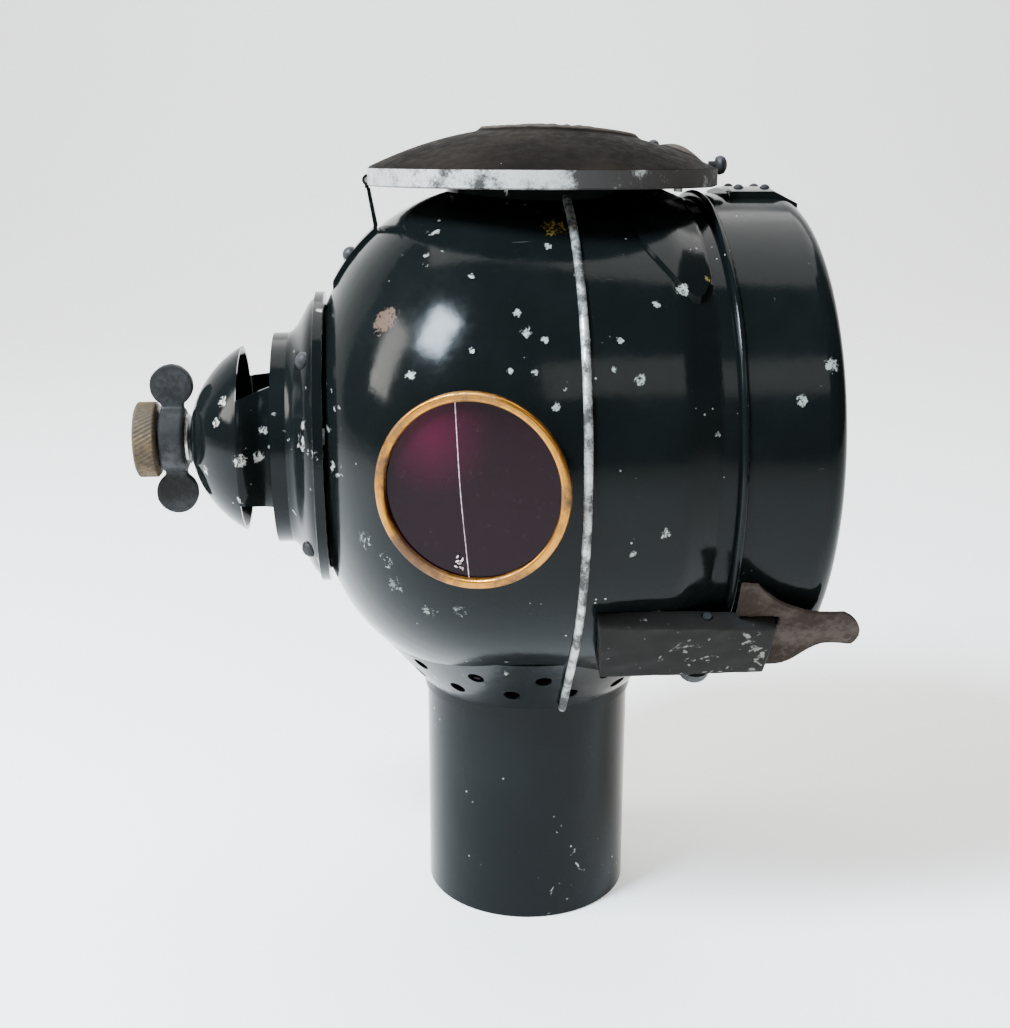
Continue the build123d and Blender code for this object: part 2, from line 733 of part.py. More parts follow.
with BuildPart() as top_plate_rivets:
    for x in (54.5, 62.5):
        with Locations(Plane(at(x, 0, DRUM_R + 1.7))):
            with Locations((0, -6), (0, 6)):
                add(domed_rivet(1.6, 1.1, 0.4))
save(top_plate_rivets, "top_plate_rivets")

with BuildPart() as door_top_plate:
    revolve(
        section(
            BODY, (49.5, 70), (49.5, DRUM_R + 1.5), (51.0, DRUM_R + 2.0), (63.5, DRUM_R + 2.0),
            (70.6, 71.6), (70.6, 68), (64, 70),
        ),
        axis=BODY_AXIS,
    )
    with Locations(at(60, 0, 80)):
        Box(30, 26, 40, mode=Mode.INTERSECT)
    add(door_outer.part, mode=Mode.SUBTRACT)
    add(top_plate_rivets.part, mode=Mode.SUBTRACT)
save(door_top_plate, "door_top_plate")

door_axis_plane = Plane(at(DOOR_HINGE[0], DOOR_HINGE[1], 0))
KNUCKLE_HALF = 6.0
HINGE_HALF = 12.5
with BuildPart() as door_hinge_leaf:
    revolve(
        section(BODY, (44.6, DRUM_R), (44.6, DRUM_R + 1.2), (59, DRUM_R + 1.2), (59, DRUM_R)),
        axis=BODY_AXIS,
    )
    with Locations(at(52, DRUM_R, 0)):
        Box(30, 20, 2 * HINGE_HALF, mode=Mode.INTERSECT)
    with BuildSketch(Plane(at(0, 0, 0))):
        with BuildLine():
            Polyline((41.6, 77.4), (41.6, 79.6), (49.0, 74.4), (49.0, 73.4), (44.9, 73.6), close=True)
        make_face()
    extrude(amount=KNUCKLE_HALF, both=True)
    add(hinge_barrel(door_axis_plane, DOOR_BARREL_R, DOOR_PIN_R + RUNNING, (-KNUCKLE_HALF, KNUCKLE_HALF)))
    with BuildSketch(door_axis_plane):
        Circle(DOOR_PIN_R + RUNNING)
    extrude(amount=20, both=True, mode=Mode.SUBTRACT)
    add(door_outer.part, mode=Mode.SUBTRACT)
save(door_hinge_leaf, "door_hinge_leaf")

with BuildPart() as door_hinge_bracket:
    revolve(front_sheet(0, 1.2, end=40), axis=BODY_AXIS)
    with Locations(at(19, BOWL_R, 0)):
        Box(26, 20, 2 * HINGE_HALF, mode=Mode.INTERSECT)
    with BuildSketch(Plane(at(0, 0, 0))):
        with BuildLine():
            Polyline((22.0, 76.0), (22.0, 76.9), (39.9, 79.8), (39.9, 77.0), (30.5, 75.2), close=True)
        make_face()
    extrude(amount=HINGE_HALF, both=True)
    with Locations(at(40, 78, 0)):
        Box(12, 12, 2 * KNUCKLE_HALF + 0.6, mode=Mode.SUBTRACT)
    add(hinge_barrel(
        door_axis_plane, DOOR_BARREL_R, DOOR_PIN_R,
        (-HINGE_HALF, -KNUCKLE_HALF - 0.3), (KNUCKLE_HALF + 0.3, HINGE_HALF),
    ))
    with BuildSketch(door_axis_plane):
        Circle(DOOR_PIN_R)
    extrude(amount=20, both=True, mode=Mode.SUBTRACT)
    add(body_core.part, mode=Mode.SUBTRACT)
save(door_hinge_bracket, "door_hinge_bracket")

with BuildPart() as door_hinge_pin:
    with BuildSketch(door_axis_plane):
        Circle(DOOR_PIN_R)
    extrude(amount=HINGE_HALF + 0.8, both=True)
save(door_hinge_pin, "door_hinge_pin")

# ---- latch on the lower near side
POCKET_REAR = 4.5
POCKET_FRONT = 54.3
POCKET_LOW = -17.0
POCKET_HIGH = 4.0
POCKET_OUT = LATCH_R + 4.0
pin_plane = Plane(
    latch_plane(LATCH_R).from_local_coords(Vector(LATCH_PIN_X, 0, 0)),
    x_dir=(1, 0, 0),
    z_dir=latch_plane(0).y_dir,
)
with BuildPart() as latch_bracket:
    with BuildSketch(latch_plane(LATCH_R - 14)):
        with BuildLine():
            Polyline(
                (POCKET_REAR, POCKET_HIGH + 3), (POCKET_FRONT, POCKET_HIGH), (POCKET_FRONT, POCKET_LOW),
                (POCKET_REAR + 2.5, POCKET_LOW), close=True,
            )
        make_face()
    extrude(amount=POCKET_OUT - LATCH_R + 14)
    fillet(latch_bracket.edges().group_by(Axis(Vector(0, 0, 0), latch_plane(0).z_dir))[-1], 0.8)
    with BuildSketch(latch_plane(LATCH_R - 14)):
        with BuildLine():
            Polyline(
                (POCKET_REAR + 1.4, POCKET_HIGH + 1.8), (POCKET_FRONT + 5, POCKET_HIGH - 1),
                (POCKET_FRONT + 5, POCKET_LOW + 1), (POCKET_REAR + 3.5, POCKET_LOW + 1), close=True,
            )
        make_face()
    extrude(amount=POCKET_OUT - LATCH_R + 13, mode=Mode.SUBTRACT)
    revolve(
        section(BODY, (0, 0), (0, DRUM_R + 2.6), (70, DRUM_R + 2.6), (70, 0)),
        axis=BODY_AXIS,
        mode=Mode.SUBTRACT,
    )
    add(body_core.part, mode=Mode.SUBTRACT)
    with BuildSketch(pin_plane):
        Circle(LATCH_PIN_R)
    extrude(amount=30, both=True, mode=Mode.SUBTRACT)
save(latch_bracket, "latch_bracket")

with BuildPart() as latch_pin:
    with BuildSketch(pin_plane.offset(POCKET_LOW)):
        Circle(LATCH_PIN_R)
    extrude(amount=POCKET_HIGH + 1.6 - POCKET_LOW)
    with BuildSketch(pin_plane.offset(POCKET_LOW - 4.6)):
        Circle(4.6)
    extrude(amount=4.6)
    pin_axis = Axis(pin_plane.origin, pin_plane.z_dir)
    fillet(latch_pin.edges().filter_by(GeomType.CIRCLE).group_by(pin_axis)[0], 2.6)
save(latch_pin, "latch_pin")

with BuildPart() as latch_lever:
    with BuildSketch(latch_plane(LATCH_R - LEVER_SHEET / 2)):
        with BuildLine():
            Polyline(
                (LATCH_PIN_X, POCKET_LOW + 3), (LATCH_PIN_X, POCKET_HIGH - 3), (55.3, POCKET_HIGH - 3),
                (55.3, POCKET_HIGH + 0.8), (43.0, POCKET_HIGH + 1.6), (42.0, 19.2), (47.0, 18.6),
            )
            Spline((47.0, 18.6), (51.5, 13.4), (57.5, 9.0), (66.8, 5.7))
            Line((66.8, 5.7), (73.7, 5.4))
            Spline((73.7, 5.4), (78.2, 1.0), (80.4, -5.0), (79.0, -9.2))
            Line((79.0, -9.2), (74.6, -8.4))
            Spline((74.6, -8.4), (67.0, -10.6), (63.4, -14.8), (59.0, -17.6))
            Polyline((59.0, -17.6), (55.3, -17.6), (55.3, POCKET_LOW + 3), (LATCH_PIN_X, POCKET_LOW + 3))
        make_face()
    extrude(amount=LEVER_SHEET)
    with BuildSketch(pin_plane.offset(POCKET_LOW + 3)):
        Circle(2.4)
    extrude(amount=POCKET_HIGH - POCKET_LOW - 6)
    with BuildSketch(pin_plane.offset(POCKET_LOW)):
        Circle(LATCH_PIN_R + RUNNING)
    extrude(amount=40, mode=Mode.SUBTRACT)
    with Locations(latch_plane(LATCH_R).from_local_coords(Vector(77.0, -5.4, -0.4))):
        Sphere(1.6)
save(latch_lever, "latch_lever")

with BuildPart() as latch_spring:
    with BuildSketch(pin_plane.offset(POCKET_LOW + 5)):
        with BuildLine():
            outer = Spline((-26.0, -2.8), (-14.0, -2.2), (-3.4, -2.8))
            inner = Spline((-26.0, -2.2), (-14.0, -1.6), (-3.4, -2.2))
            Line(outer @ 0, inner @ 0)
            Line(outer @ 1, inner @ 1)
        make_face()
    extrude(amount=7)
save(latch_spring, "latch_spring")

# ---- oil fount, burner and wick
with BuildPart() as fount_seat:
    with BuildSketch(Plane.XY.offset(FLOOR_TOP)):
        Rectangle(64, 2 * FOUNT_R + 3.4)
        with Locations((2, 0)):
            Rectangle(64, 2 * FOUNT_R + 1, mode=Mode.SUBTRACT)
    extrude(amount=5)
    with BuildSketch(Plane.XY.offset(FLOOR_TOP)):
        Circle(TUBE_R + 0.8)
    extrude(amount=5, mode=Mode.INTERSECT)
save(fount_seat, "fount_seat")

FOUNT_LOW = FLOOR_TOP + 0.2
FOUNT_TOP = FOUNT_LOW + FOUNT_HEIGHT
with BuildPart() as fount_tank:
    with BuildSketch(Plane.XZ):
        with BuildLine():
            Polyline(
                (0, FOUNT_LOW), (FOUNT_R, FOUNT_LOW), (FOUNT_R, FOUNT_TOP - 7),
                (FOUNT_R - 3, FOUNT_TOP - 3.4),
                (11, FOUNT_TOP), (9.4, FOUNT_TOP), (9.4, FOUNT_TOP - 1.4), (FOUNT_R - 4, FOUNT_TOP - 4.6),
                (FOUNT_R - 0.8, FOUNT_TOP - 7.4), (FOUNT_R - 0.8, FOUNT_LOW + 0.8), (0, FOUNT_LOW + 0.8),
                close=True,
            )
        make_face()
    revolve(axis=Axis.Z)
save(fount_tank, "fount_tank")

SPINDLE_X = 4.0
SPINDLE_Z = FOUNT_TOP + 5
WHEEL_R = SPINDLE_X - 0.6 - 0.1
spindle_plane = Plane((SPINDLE_X, 0, SPINDLE_Z), x_dir=(1, 0, 0), z_dir=(0, -1, 0))
with BuildPart() as burner_collar:
    with BuildSketch(Plane.XY.offset(FOUNT_TOP)):
        Circle(12)
        Circle(9.4, mode=Mode.SUBTRACT)
    extrude(amount=9)
    fillet(burner_collar.edges().filter_by(GeomType.CIRCLE).sort_by(SortBy.RADIUS)[-2:], 0.6)
    with BuildSketch(spindle_plane):
        Circle(SPINDLE_R + RUNNING)
    extrude(amount=20, both=True, mode=Mode.SUBTRACT)
save(burner_collar, "burner_collar")

with BuildPart() as burner_cone:
    with BuildSketch(Plane.XZ):
        with BuildLine():
            Polyline((12, FOUNT_TOP + 9), (12, FOUNT_TOP + 10))
            Spline((12, FOUNT_TOP + 10), (11.2, FOUNT_TOP + 16), (8, FOUNT_TOP + 20.6), (4, FOUNT_TOP + 22))
            Line((4, FOUNT_TOP + 22), (0, FOUNT_TOP + 22.2))
            Line((0, FOUNT_TOP + 22.2), (0, FOUNT_TOP + 21.5))
            Line((0, FOUNT_TOP + 21.5), (3.8, FOUNT_TOP + 21.3))
            Spline(
                (3.8, FOUNT_TOP + 21.3), (7.5, FOUNT_TOP + 20),
                (10.5, FOUNT_TOP + 15.6), (11.2, FOUNT_TOP + 9),
            )
            Line((11.2, FOUNT_TOP + 9), (12, FOUNT_TOP + 9))
        make_face()
    revolve(axis=Axis.Z)
    with Locations((0, 0, FOUNT_TOP + 22)):
        Box(4.4, 11, 8, mode=Mode.SUBTRACT)
save(burner_cone, "burner_cone")

with BuildPart() as wick_tube:
    with BuildSketch(Plane.XY.offset(FOUNT_TOP - 4)):
        Rectangle(3.0, 2 * WICK_HALF + 2)
        Rectangle(1.6, 2 * WICK_HALF + 0.6, mode=Mode.SUBTRACT)
    extrude(amount=23)
    with Locations((SPINDLE_X, 0, SPINDLE_Z)):
        Box(7, 7, 9, mode=Mode.SUBTRACT)
    with BuildSketch(Plane.XY.offset(FOUNT_TOP)):
        Rectangle(3.0, 18.4)
        Rectangle(1.6, 2 * WICK_HALF + 0.6, mode=Mode.SUBTRACT)
    extrude(amount=1.2)
save(wick_tube, "wick_tube")

with BuildPart() as wick:
    with BuildSketch(Plane.XY.offset(FOUNT_TOP - 16)):
        Rectangle(1.2, 2 * WICK_HALF)
    extrude(amount=36.4)
save(wick, "wick")

with BuildPart() as winder_spindle:
    with BuildSketch(spindle_plane.offset(-24)):
        Circle(SPINDLE_R)
    extrude(amount=37)
save(winder_spindle, "winder_spindle")

with BuildPart() as winder_wheel:
    with BuildSketch(spindle_plane.offset(-2.5)):
        Circle(WHEEL_R)
        Circle(SPINDLE_R, mode=Mode.SUBTRACT)
        with PolarLocations(WHEEL_R + 0.1, 16):
            Circle(0.3, mode=Mode.SUBTRACT)
    extrude(amount=5)
save(winder_wheel, "winder_wheel")

with BuildPart() as winder_knob:
    with BuildSketch(spindle_plane.offset(-25)):
        Circle(5.5)
        Circle(SPINDLE_R, mode=Mode.SUBTRACT)
        with PolarLocations(5.7, 24):
            Circle(0.45, mode=Mode.SUBTRACT)
    extrude(amount=3)
save(winder_knob, "winder_knob")
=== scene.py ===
import json
import math

import bmesh
import bpy
from mathutils import Matrix, Vector, noise


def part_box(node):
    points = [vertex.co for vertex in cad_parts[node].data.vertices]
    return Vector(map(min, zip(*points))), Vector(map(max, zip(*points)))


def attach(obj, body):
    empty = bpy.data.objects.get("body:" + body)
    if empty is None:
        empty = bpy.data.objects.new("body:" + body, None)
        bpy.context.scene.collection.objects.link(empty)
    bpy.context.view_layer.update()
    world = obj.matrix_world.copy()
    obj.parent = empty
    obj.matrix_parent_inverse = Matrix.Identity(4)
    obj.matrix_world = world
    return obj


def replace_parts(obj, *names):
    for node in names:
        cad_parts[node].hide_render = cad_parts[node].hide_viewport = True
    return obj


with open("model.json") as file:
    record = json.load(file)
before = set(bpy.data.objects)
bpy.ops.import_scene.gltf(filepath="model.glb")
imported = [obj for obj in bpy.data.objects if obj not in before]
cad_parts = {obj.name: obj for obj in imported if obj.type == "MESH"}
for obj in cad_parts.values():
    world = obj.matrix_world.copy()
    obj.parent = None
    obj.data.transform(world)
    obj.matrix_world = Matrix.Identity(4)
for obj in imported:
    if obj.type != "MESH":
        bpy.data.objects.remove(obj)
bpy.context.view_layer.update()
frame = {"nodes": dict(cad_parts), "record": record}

# Body axis and seam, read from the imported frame.
SEAM_LOW, SEAM_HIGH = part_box("seam_bead")
SEAM_X = (SEAM_LOW.x + SEAM_HIGH.x) / 2
NUT_LOW, NUT_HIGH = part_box("knurled_nut")
AXIS_Z = (NUT_LOW.z + NUT_HIGH.z) / 2
SHOWN = frame["nodes"]


def spot(x, y, z):
    """Body coordinates in metres (x from the seam, z from the axis) as a point of the row frame."""
    return Vector((SEAM_X + x, y, AXIS_Z + z))


# The warm glow in the near side glass.
GLASS_GLOW = spot(-0.040, -0.0685, 0.014)


# ---- materials
class Look:
    """A procedural material in the object's own coordinates, in metres."""

    def __init__(self, name):
        self.material = bpy.data.materials.new(name)
        self.material.use_nodes = True
        self.tree = self.material.node_tree
        self.shader = self.tree.nodes["Principled BSDF"]
        self.coords = self.tree.nodes.new("ShaderNodeTexCoord").outputs["Object"]

    def link(self, source, target):
        if isinstance(source, bpy.types.NodeSocket):
            self.tree.links.new(source, target)
        else:
            target.default_value = source

    def set(self, socket, value):
        self.link(value, self.shader.inputs[socket])

    def noise(self, scale, detail=6.0, rough=0.6, stretch=(1, 1, 1), bend=0.0):
        node = self.tree.nodes.new("ShaderNodeTexNoise")
        mapping = self.tree.nodes.new("ShaderNodeMapping")
        mapping.inputs["Scale"].default_value = stretch
        self.tree.links.new(self.coords, mapping.inputs["Vector"])
        self.tree.links.new(mapping.outputs["Vector"], node.inputs["Vector"])
        node.inputs["Scale"].default_value = scale
        node.inputs["Detail"].default_value = detail
        node.inputs["Roughness"].default_value = rough
        node.inputs["Distortion"].default_value = bend
        return node.outputs["Fac"]

    def cells(self, scale):
        node = self.tree.nodes.new("ShaderNodeTexVoronoi")
        self.tree.links.new(self.coords, node.inputs["Vector"])
        node.inputs["Scale"].default_value = scale
        return node.outputs["Distance"]

    def ramp(self, fac, low, high, start=0.0, end=1.0):
        node = self.tree.nodes.new("ShaderNodeMapRange")
        node.interpolation_type = "SMOOTHSTEP"
        self.link(fac, node.inputs["Value"])
        node.inputs["From Min"].default_value = low
        node.inputs["From Max"].default_value = high
        node.inputs["To Min"].default_value = start
        node.inputs["To Max"].default_value = end
        return node.outputs["Result"]

    def math(self, kind, a, b):
        node = self.tree.nodes.new("ShaderNodeMath")
        node.operation = kind
        self.link(a, node.inputs[0])
        self.link(b, node.inputs[1])
        return node.outputs["Value"]

    def mix(self, fac, a, b):
        node = self.tree.nodes.new("ShaderNodeMix")
        node.data_type = "RGBA"
        self.link(fac, node.inputs["Factor"])
        self.link(a, node.inputs[6])
        self.link(b, node.inputs[7])
        return node.outputs[2]

    def near(self, centre, reach, fade):
        """1 inside a ball around a point of the row frame, 0 outside it."""
        node = self.tree.nodes.new("ShaderNodeVectorMath")
        node.operation = "DISTANCE"
        self.tree.links.new(self.coords, node.inputs[0])
        node.inputs[1].default_value = centre
        return self.ramp(node.outputs["Value"], reach - fade, reach + fade, 1.0, 0.0)

    def part(self, axis):
        node = self.tree.nodes.new("ShaderNodeSeparateXYZ")
        self.tree.links.new(self.coords, node.inputs["Vector"])
        return node.outputs[axis]

    def bump(self, height, strength, distance):
        node = self.tree.nodes.new("ShaderNodeBump")
        node.inputs["Strength"].default_value = strength
        node.inputs["Distance"].default_value = distance
        self.link(height, node.inputs["Height"])
        self.tree.links.new(node.outputs["Normal"], self.shader.inputs["Normal"])


def rgb(red, green, blue):
    return (red, green, blue, 1.0)


def painted(name, coat, chips=0.71, gloss=0.085, shine=0.1, metal=rgb(0.3, 0.3, 0.27), marks=()):
    """Black japan over tin: uneven gloss, dust, specks, chips to grey metal, and marks at their places."""
    look = Look(name)
    wide = look.noise(38, 5, 0.55)
    fine = look.noise(420, 6, 0.65)
    ragged = look.noise(820, 6, 0.75, bend=0.6)
    chip_noise = look.noise(230, 7, 0.62, bend=0.4)
    patch = look.noise(24, 3, 0.5)
    speck = look.ramp(look.cells(300), 0.07, 0.11, 1.0, 0.0)
    speck_gate = look.ramp(look.noise(80, 3, 0.5), 0.62, 0.67)
    scratch = look.ramp(look.noise(75, 4, 0.7, stretch=(1.0, 9.0, 0.5), bend=0.7), 0.71, 0.75)
    wear = look.math("ADD", look.math("MULTIPLY", chip_noise, 0.7), look.math("MULTIPLY", patch, 0.42))
    chipped = look.ramp(wear, chips, chips + 0.03)
    bare = look.math("MAXIMUM", chipped, look.math("MULTIPLY", speck, speck_gate))
    dusty = look.ramp(wide, 0.42, 0.75, 0.0, 0.3)
    dull = rgb(coat[0] * 1.5 + 0.002, coat[1] * 1.5 + 0.0026, coat[2] * 1.5 + 0.0026)
    colour = look.mix(dusty, coat, dull)
    colour = look.mix(look.math("MULTIPLY", scratch, 0.35), colour, rgb(0.08, 0.08, 0.075))
    colour = look.mix(bare, colour, metal)
    for paint, break_up, places in marks:
        cover = 0.0
        for centre, reach in places:
            cover = look.math("MAXIMUM", look.near(centre, reach * 0.72, reach * 0.5), cover)
        edge = look.math("ADD", look.math("MULTIPLY", cover, 0.4), ragged)
        blot = look.ramp(edge, break_up, break_up + 0.05)
        colour = look.mix(blot, colour, paint)
        bare = look.math("MAXIMUM", bare, blot)
    look.set("Base Color", colour)
    look.set("Metallic", look.math("MULTIPLY", bare, 0.25))
    look.shader.inputs["Specular IOR Level"].default_value = shine
    sheen = look.ramp(wide, 0.3, 0.75, gloss * 0.75, gloss * 1.8)
    rough = look.math("ADD", sheen, look.math("MULTIPLY", bare, 0.35))
    look.set("Roughness", look.math("ADD", rough, look.ramp(fine, 0.3, 0.8, 0.0, 0.07)))
    soft = look.math("ADD", look.math("MULTIPLY", fine, 0.14), look.math("MULTIPLY", wide, 0.9))
    look.bump(look.math("SUBTRACT", soft, look.math("MULTIPLY", bare, 0.5)), 0.2, 0.0007)
    return look.material


def bare_metal(
    name, base, dark, rough=0.35, scale=160, metallic=1.0, cover=0.5, darker_from=None, shine=0.5,
):
    """Worn metal under darker tarnish or paint; from a given x onwards (towards +x) it is made darker."""
    look = Look(name)
    wide = look.noise(scale * 0.35, 5, 0.6)
    fine = look.noise(scale * 4, 6, 0.7)
    both = look.math("ADD", look.math("MULTIPLY", wide, 0.7), look.math("MULTIPLY", fine, 0.3))
    if darker_from is not None:
        # Darker towards +x beyond the given x.
        front_darkening = look.ramp(look.part(0), darker_from - 0.006, darker_from + 0.006, 0.0, 0.16)
        both = look.math("ADD", both, front_darkening)
    stain = look.ramp(both, cover - 0.1, cover + 0.1)
    look.set("Base Color", look.mix(stain, base, dark))
    look.set("Metallic", look.ramp(stain, 0.0, 1.0, metallic, metallic * 0.45))
    look.shader.inputs["Specular IOR Level"].default_value = shine
    look.set("Roughness", look.ramp(look.math("ADD", wide, stain), 0.4, 1.6, rough, min(0.85, rough + 0.35)))
    look.bump(look.math("ADD", look.math("MULTIPLY", fine, 0.4), wide), 0.35, 0.0004)
    return look.material


def coloured_glass(name, colour, rough=0.04, depth=1.0, shine=0.5, painted_glow=None):
    look = Look(name)
    smear = look.noise(70, 4, 0.6)
    # Painted glow: a brighter red spot painted into the glass colour around GLASS_GLOW, standing for light
    # shining through the glass.
    if painted_glow:
        colour = look.mix(look.near(GLASS_GLOW, 0.006, 0.013), colour, painted_glow)
    dust = look.ramp(look.noise(500, 5, 0.7), 0.58, 0.75)
    look.set("Base Color", look.mix(look.math("MULTIPLY", dust, 0.12), colour, rgb(0.07, 0.055, 0.06)))
    look.set("Roughness", look.ramp(smear, 0.3, 0.75, rough, rough + 0.12))
    look.shader.inputs["Transmission Weight"].default_value = depth
    look.shader.inputs["Specular IOR Level"].default_value = shine
    look.shader.inputs["IOR"].default_value = 1.5
    look.bump(smear, 0.08, 0.0006)
    return look.material


def cloth(name, base, dark):
    look = Look(name)
    weave = look.noise(900, 3, 0.5)
    look.set("Base Color", look.mix(look.ramp(look.noise(150, 4, 0.6), 0.35, 0.7), base, dark))
    look.set("Roughness", look.ramp(weave, 0.3, 0.7, 0.8, 0.95))
    look.bump(weave, 0.5, 0.0004)
    return look.material


JAPAN = rgb(0.0032, 0.0042, 0.0042)
CHIP = rgb(0.27, 0.29, 0.26)
# Marks: paint colour, break-up threshold, and (place, reach) pairs. The places weren't chosen by hand:
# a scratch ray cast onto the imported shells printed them, as report.md says under "Rules not kept".
PALE_CHIPS = (CHIP, 0.84, [
    (spot(-0.0171, -0.0619, 0.0446), 0.0022), (spot(-0.0149, -0.0653, 0.0399), 0.0026),
    (spot(-0.0103, -0.0666, 0.0382), 0.0018), (spot(-0.0290, -0.0653, 0.0356), 0.0016),
    (spot(-0.0196, -0.0695, 0.0308), 0.0017), (spot(-0.0133, -0.0703, 0.0305), 0.0020),
    (spot(-0.0082, -0.0737, 0.0220), 0.0022), (spot(-0.0397, -0.0407, 0.0579), 0.0017),
    (spot(-0.0281, -0.0522, 0.0532), 0.0017), (spot(-0.0074, -0.0474, 0.0606), 0.0022),
    (spot(-0.0449, -0.0618, 0.0288), 0.0026),
    (spot(0.0197, -0.0598, 0.0464), 0.0020), (spot(0.0092, -0.0663, 0.0380), 0.0019),
    (spot(0.0139, -0.0706, 0.0282), 0.0028), (spot(0.0074, -0.0700, 0.0308), 0.0017),
    (spot(0.0350, -0.0707, 0.0135), 0.0017), (spot(0.0127, -0.0741, -0.0174), 0.0018),
    (spot(0.0210, -0.0746, -0.0120), 0.0026), (spot(0.0573, -0.0695, 0.0222), 0.0028),
    (spot(0.0659, -0.0661, 0.0308), 0.0036), (spot(0.0275, -0.0564, 0.0497), 0.0032),
])
SCRATCHED = (rgb(0.2, 0.21, 0.19), 0.93, [
    (spot(-0.0578, -0.0553, -0.0174), 0.0060), (spot(-0.0524, -0.0590, -0.0221), 0.0055),
    (spot(-0.0499, -0.0578, -0.0297), 0.0060), (spot(-0.0405, -0.0599, -0.0370), 0.0052),
    (spot(-0.0325, -0.0641, -0.0358), 0.0045),
])
BROWNED = (rgb(0.075, 0.045, 0.032), 0.78, [(spot(-0.0511, -0.0488, 0.0415), 0.0062)])
YELLOWED = (rgb(0.2, 0.14, 0.03), 0.89, [
    (spot(-0.0048, -0.0413, 0.0650), 0.0070), (spot(0.0351, -0.0512, 0.0523), 0.0020),
])
COWL_CHIPS = (rgb(0.40, 0.39, 0.35), 0.86, [
    (spot(-0.0984, -0.0205, 0.0149), 0.0034), (spot(-0.1002, -0.0219, 0.0093), 0.0030),
    (spot(-0.0933, -0.0278, -0.0012), 0.0040), (spot(-0.0885, -0.0246, -0.0009), 0.0036),
    (spot(-0.1047, -0.0179, -0.0057), 0.0032), (spot(-0.0871, -0.0231, 0.0070), 0.0028),
    (spot(-0.0721, -0.0295, -0.0307), 0.0030), (spot(-0.0696, -0.0171, 0.0407), 0.0028),
])
LOOKS = {
    "black_japan": painted(
        "look_black_japan", JAPAN, marks=(PALE_CHIPS, SCRATCHED, BROWNED, YELLOWED, COWL_CHIPS),
    ),
    "worn_black": painted(
        "look_worn_black", rgb(0.0105, 0.0084, 0.0072),
        chips=0.73, gloss=0.36, shine=0.012, metal=rgb(0.12, 0.105, 0.09),
    ),
    "dark_iron": bare_metal(
        "look_dark_iron", rgb(0.03, 0.03, 0.031), rgb(0.01, 0.0095, 0.009),
        0.38, cover=0.47, metallic=0.2, shine=0.2,
    ),
    "aged_brass": bare_metal(
        "look_aged_brass", rgb(0.42, 0.18, 0.028), rgb(0.085, 0.036, 0.012), 0.28, cover=0.53,
    ),
    # The ruby glass gets a painted glow: a brighter red colour painted into one spot of the near side glass.
    "ruby_glass": coloured_glass(
        "look_ruby_glass", rgb(0.006, 0.0004, 0.0022),
        rough=0.015, depth=0.12, shine=0.05, painted_glow=rgb(0.05, 0.0015, 0.014),
    ),
    "clear_glass": coloured_glass("look_clear_glass", rgb(0.9, 0.95, 0.92), 0.02),
    "tin_plate": bare_metal(
        "look_tin_plate", rgb(0.5, 0.49, 0.46), rgb(0.2, 0.17, 0.14), 0.34, cover=0.58,
    ),
    "steel": bare_metal("look_steel", rgb(0.36, 0.35, 0.34), rgb(0.1, 0.085, 0.07), 0.32, cover=0.52),
    "silvered": bare_metal("look_silvered", rgb(0.86, 0.85, 0.82), rgb(0.5, 0.45, 0.36), 0.08, cover=0.68),
    "rusty_steel": bare_metal(
        "look_rusty_steel", rgb(0.034, 0.022, 0.015), rgb(0.014, 0.008, 0.005),
        0.55, cover=0.47, metallic=0.1, shine=0.15,
    ),
    "felt_grey": cloth("look_felt_grey", rgb(0.3, 0.29, 0.27), rgb(0.16, 0.15, 0.14)),
    "wick_cotton": cloth("look_wick_cotton", rgb(0.62, 0.56, 0.44), rgb(0.2, 0.16, 0.11)),
}
WORN_BEAD = bare_metal(
    "look_worn_bead", rgb(0.55, 0.55, 0.53), rgb(0.03, 0.03, 0.028),
    0.36, scale=480, metallic=0.6, cover=0.49,
)
WORN_RIM = bare_metal(
    "look_worn_rim", rgb(0.6, 0.59, 0.57), rgb(0.02, 0.017, 0.015),
    0.36, scale=330, metallic=0.6, cover=0.53, darker_from=SEAM_X - 0.004,
)
WORN_BRACKET = painted(
    "look_worn_bracket", rgb(0.011, 0.010, 0.009),
    chips=0.63, gloss=0.34, shine=0.03, metal=rgb(0.17, 0.16, 0.145),
)
DULL_BRASS = bare_metal(
    "look_dull_brass", rgb(0.13, 0.088, 0.042), rgb(0.045, 0.03, 0.016), 0.4, cover=0.5, metallic=0.85,
)

for entry in frame["record"]["subparts"]:
    node = SHOWN[entry["node"]]
    node.data.materials.clear()
    node.data.materials.append(LOOKS[entry["material_slot"]])
SHOWN["seam_bead"].data.materials[0] = WORN_BEAD
SHOWN["lid_rim_band"].data.materials[0] = WORN_RIM
SHOWN["chimney_ring"].data.materials[0] = LOOKS["black_japan"]
SHOWN["latch_bracket"].data.materials[0] = WORN_BRACKET


# ---- pieces that stand for plainer CAD nodes
def new_piece(name, mesh, body, look, smooth=True):
    for face in mesh.polygons:
        face.use_smooth = smooth
    piece = bpy.data.objects.new(name, mesh)
    bpy.context.scene.collection.objects.link(piece)
    mesh.materials.append(look)
    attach(piece, body)
    return piece


def turned(name, section, steps, lift, body, look):
    """Surface of revolution about the body axis; lift(x, turn) moves the skin outwards."""
    shape = bmesh.new()
    rings = []
    for x, radius, share in section:
        ring = []
        for i in range(steps):
            turn = 2 * math.pi * i / steps
            reach = radius + share * lift(x, turn)
            y, z = reach * math.cos(turn), AXIS_Z + reach * math.sin(turn)
            ring.append(shape.verts.new((SEAM_X + x, y, z)))
        rings.append(ring)
    for first, second in zip(rings, rings[1:] + rings[:1]):
        for i in range(steps):
            shape.faces.new((first[i], first[i - 1], second[i - 1], second[i]))
    bmesh.ops.recalc_face_normals(shape, faces=shape.faces)
    mesh = bpy.data.meshes.new(name)
    shape.to_mesh(mesh)
    shape.free()
    return new_piece(name, mesh, body, look)


